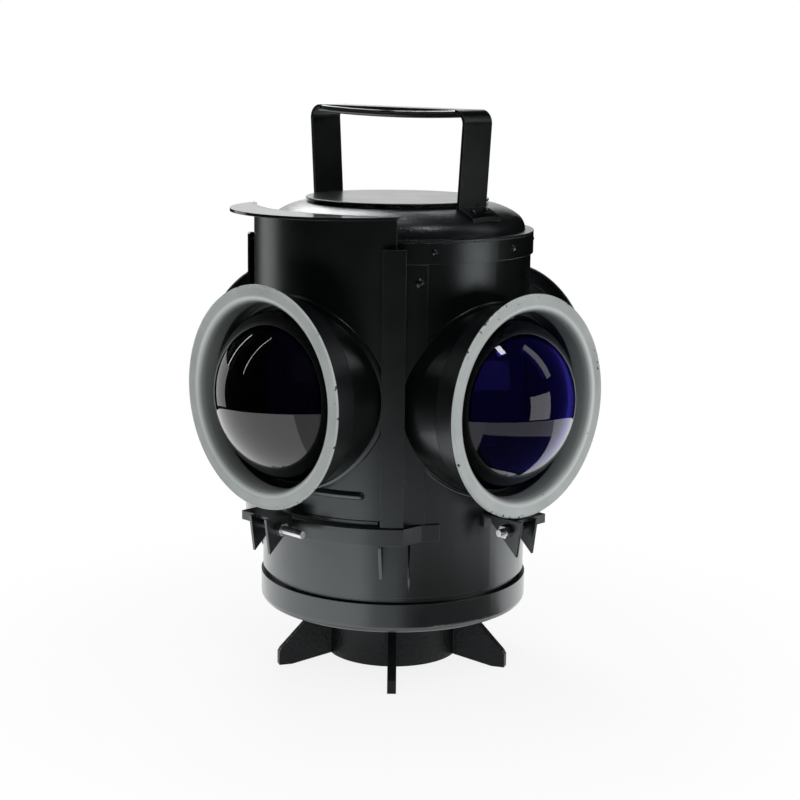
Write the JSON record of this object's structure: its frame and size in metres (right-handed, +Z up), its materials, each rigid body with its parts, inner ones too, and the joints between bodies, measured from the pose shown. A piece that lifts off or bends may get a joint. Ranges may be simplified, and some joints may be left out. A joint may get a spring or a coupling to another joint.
{
  "type": "railway switch lamp",
  "caption": "Oil-burning railway switch lamp: a drum on a legged cast base, hooded bull's-eye lenses in pale bezels, a lift-up lens door, a domed vented lid and a strip handle.",
  "frame": {"origin": "on the ground under the lamp's axis, midway between the lenses", "axes": "+Z up; the lens door faces -Y and the fixed lenses face +X, +Y and -X"},
  "size_m": [0.287, 0.287, 0.3835],
  "materials": {
    "cast_black": "black-painted casting",
    "black_paint": "satin black paint",
    "grey_paint": "pale grey paint, chipped",
    "clear_glass": "clear moulded glass",
    "violet_glass": "deep violet-blue glass",
    "gasket_rubber": "matt black",
    "zinc_steel": "bright zinc",
    "brass": "dull brass",
    "cotton_wick": "woven cotton"
  },
  "bodies": {
    "lantern": {"spider_base": "cast_black", "base_pan": "black_paint", "body_drum": "black_paint", "lid_skirt": "black_paint", "lid_dome": "black_paint", "vent_cap": "black_paint", "cap_spacers": "black_paint", "lid_screws": "black_paint", "handle": "black_paint", "handle_rivets": "black_paint", "guide_right": "black_paint", "guide_left": "black_paint", "guide_rivets": "black_paint", "door_strap": "black_paint", "strap_gussets": "black_paint", "door_sill": "black_paint", "right_hood": "black_paint", "right_bezel": "grey_paint", "right_lens_seat": "black_paint", "right_gasket": "gasket_rubber", "right_lens": "violet_glass", "right_clips": "black_paint", "rear_hood": "black_paint", "rear_bezel": "grey_paint", "rear_lens_seat": "black_paint", "rear_gasket": "gasket_rubber", "rear_lens": "clear_glass", "rear_clips": "black_paint", "left_hood": "black_paint", "left_bezel": "grey_paint", "left_lens_seat": "black_paint", "left_gasket": "gasket_rubber", "left_lens": "violet_glass", "left_clips": "black_paint", "door_bracket": "black_paint", "right_bracket": "black_paint", "rear_bracket": "black_paint", "left_bracket": "black_paint", "bracket_bolts": "zinc_steel", "bracket_nuts": "zinc_steel", "fount_holder": "black_paint", "oil_fount": "brass", "filler_cap": "brass", "burner": "brass"},
    "door": {"door_panel": "black_paint", "door_lip": "black_paint", "door_hood": "black_paint", "door_bezel": "grey_paint", "door_lens_seat": "black_paint", "door_gasket": "gasket_rubber", "door_lens": "clear_glass", "door_clips": "black_paint"},
    "wick_winder": {"wick_spindle": "brass"},
    "wick": {"wick": "cotton_wick"}
  },
  "joints": [
    {"name": "door_lift", "type": "slide", "parent": "lantern", "child": "door", "axis": [0, 0, 1], "range_m": [0, 0.12]},
    {"name": "wick_turn", "type": "hinge", "parent": "lantern", "child": "wick_winder", "pos_m": [0, 0.00525, 0.1294], "axis": [1, 0, 0], "range_deg": [-80, 80]},
    {"name": "wick_rise", "type": "slide", "parent": "lantern", "child": "wick", "axis": [0, 0, 1], "range_m": [-0.0056, 0.0056]}
  ],
  "couplings": [
    {"joint": "wick_rise", "follows": "wick_turn", "m_per_rad": -0.004}
  ]
}
